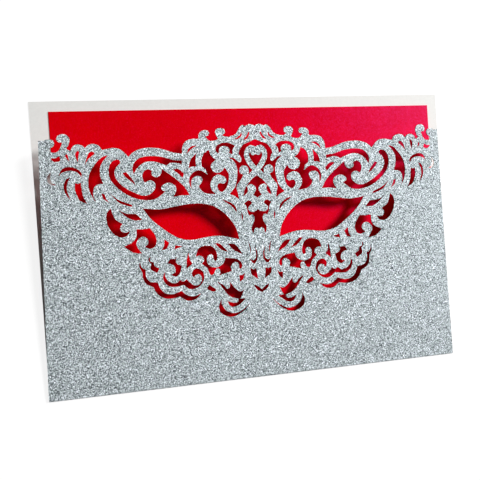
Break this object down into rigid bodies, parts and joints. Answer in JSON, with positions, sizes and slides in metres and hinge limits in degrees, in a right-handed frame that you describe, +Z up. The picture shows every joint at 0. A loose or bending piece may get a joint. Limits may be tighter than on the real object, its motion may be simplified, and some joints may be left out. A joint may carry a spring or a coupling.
{
  "type": "laser-cut invitation card",
  "caption": "Folded glitter card with a filigree mask cut through its front flap and a loose plain card inside.",
  "frame": {"origin": "centre of the closed card's footprint, on the outside face of the back panel that it lies on", "axes": "+X along the fold, +Y from the fold to the free edge, +Z up through the insert and the cut flap"},
  "size_m": [0.185, 0.125, 0.0118],
  "materials": {
    "glitter_card": "silver glitter outside, plain white inside and on the cut edges",
    "insert_card": "smooth red shimmer card"
  },
  "bodies": {
    "root": {"jacket": "glitter_card", "insert_card": "insert_card"}
  },
  "joints": []
}
